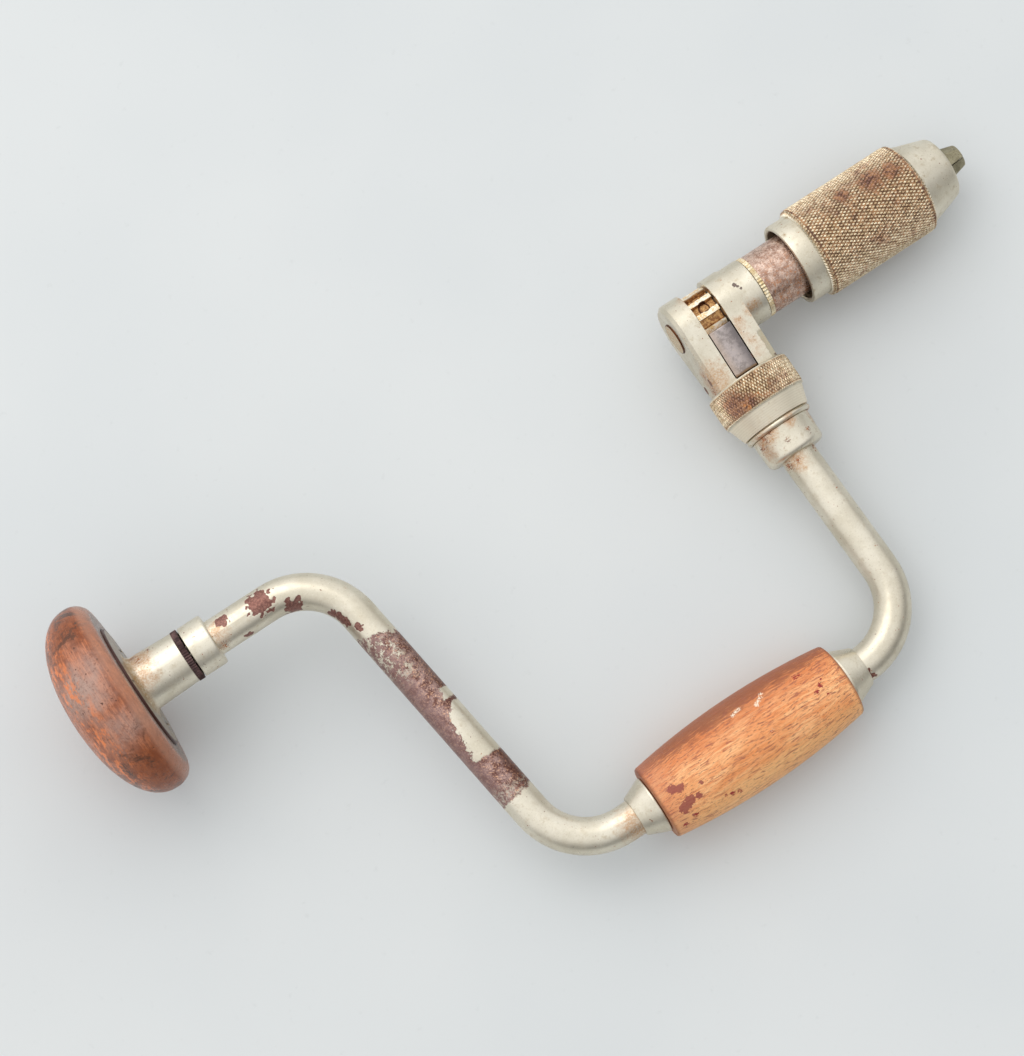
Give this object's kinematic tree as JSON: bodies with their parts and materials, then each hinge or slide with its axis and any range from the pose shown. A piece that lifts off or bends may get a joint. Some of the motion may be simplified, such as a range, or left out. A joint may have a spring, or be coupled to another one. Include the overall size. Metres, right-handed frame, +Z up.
{
  "type": "bit brace",
  "caption": "Hand drill brace: a wooden head, a bent steel crank with a turned wooden wrist handle, an open ratchet box with a knurled cam ring, and a knurled chuck with split jaws.",
  "frame": {"origin": "middle of the brace's bounding box at floor level, as it lies on a bench", "axes": "+X along the length from the head to the chuck, level; +Y from the wrist handle towards the spine; +Z up from the bench"},
  "size_m": [0.3584, 0.1778, 0.0699],
  "materials": {
    "varnished_head_wood": "glossy varnish, worn",
    "handle_wood": "satin, worn",
    "nickel": "satin nickel plate, rusted in patches",
    "bare_steel": "dull",
    "blued_steel": "satin",
    "dark_steel": "dull, rusted",
    "jaw_steel": "satin",
    "brass": "dull"
  },
  "bodies": {
    "frame": {"crank_frame": "nickel", "head_collar": "nickel", "head_washer": "bare_steel", "head_nut": "bare_steel", "handle_ferrule_head_end": "nickel", "handle_ferrule_chuck_end": "nickel", "ratchet_box": "nickel", "box_pin": "bare_steel", "cam_ring_retainer": "bare_steel", "detent_ball": "bare_steel", "detent_spring": "bare_steel", "pawl_pins": "bare_steel"},
    "head": {"head_pad": "varnished_head_wood", "head_quill": "nickel", "head_screws": "bare_steel", "head_bearing_cap": "dark_steel", "head_bearing_balls": "bare_steel"},
    "handle": {"wrist_handle": "handle_wood"},
    "cam": {"cam_ring": "nickel"},
    "upper_pawl": {"pawl_upper": "blued_steel", "pawl_spring": "bare_steel"},
    "lower_pawl": {"pawl_lower": "blued_steel"},
    "chuck": {"chuck_spindle": "bare_steel", "ratchet_wheel": "bare_steel", "wheel_pin": "bare_steel", "thrust_washer": "brass", "jaw_spring": "blued_steel"},
    "cone": {"jaw_cone_ring": "bare_steel"},
    "shell": {"chuck_shell": "nickel"},
    "far_jaw": {"jaw_far_side": "jaw_steel"},
    "wrist_jaw": {"jaw_wrist_side": "jaw_steel"}
  },
  "joints": [
    {"name": "head_swivel", "type": "hinge", "parent": "frame", "child": "head", "pos_m": [-0.15909, 0.05389, 0.03482], "axis": [0.9984, 0, -0.0565], "continuous": true},
    {"name": "handle_spin", "type": "hinge", "parent": "frame", "child": "handle", "pos_m": [0.00408, -0.07279, 0.01648], "axis": [0.9984, 0, -0.0565], "continuous": true},
    {"name": "cam_ring_turn", "type": "hinge", "parent": "frame", "child": "cam", "pos_m": [0.07309, 0.0293, 0.01992], "axis": [-0.004, -0.9974, -0.0715], "range_deg": [-35, 35]},
    {"name": "pawl_upper_tilt", "type": "hinge", "parent": "frame", "child": "upper_pawl", "pos_m": [0.07347, 0.03348, 0.02662], "axis": [0.9984, 0, -0.0565], "range_deg": [-5.81, 5.81]},
    {"name": "pawl_lower_tilt", "type": "hinge", "parent": "frame", "child": "lower_pawl", "pos_m": [0.07275, 0.0344, 0.01388], "axis": [0.9984, 0, -0.0565], "range_deg": [-5.81, 5.81]},
    {"name": "chuck_turn", "type": "hinge", "parent": "frame", "child": "chuck", "pos_m": [0.07319, 0.05389, 0.02168], "axis": [0.9984, 0, -0.0565], "continuous": true},
    {"name": "shell_travel", "type": "slide", "parent": "chuck", "child": "cone", "axis": [0.9984, 0, -0.0565], "range_m": [0, 0.012]},
    {"name": "shell_turn", "type": "hinge", "parent": "cone", "child": "shell", "pos_m": [0.10783, 0.05389, 0.01972], "axis": [0.9984, 0, -0.0565], "range_deg": [0, 1701.29]},
    {"name": "jaw_far_side_tilt", "type": "hinge", "parent": "chuck", "child": "far_jaw", "pos_m": [0.13359, 0.05389, 0.01826], "axis": [0.0493, -0.4864, 0.8723], "range_deg": [0, 3.71]},
    {"name": "jaw_wrist_side_tilt", "type": "hinge", "parent": "chuck", "child": "wrist_jaw", "pos_m": [0.13359, 0.05389, 0.01826], "axis": [-0.0493, 0.4864, -0.8723], "range_deg": [0, 3.71]}
  ],
  "couplings": [
    {"joint": "shell_turn", "follows": "shell_travel", "rad_per_m": 2473.7},
    {"joint": "jaw_far_side_tilt", "follows": "shell_travel", "rad_per_m": 5.3814},
    {"joint": "jaw_wrist_side_tilt", "follows": "shell_travel", "rad_per_m": 5.3814},
    {"joint": "pawl_upper_tilt", "follows": "cam_ring_turn", "ratio": 0.16571},
    {"joint": "pawl_lower_tilt", "follows": "cam_ring_turn", "ratio": 0.16571}
  ]
}
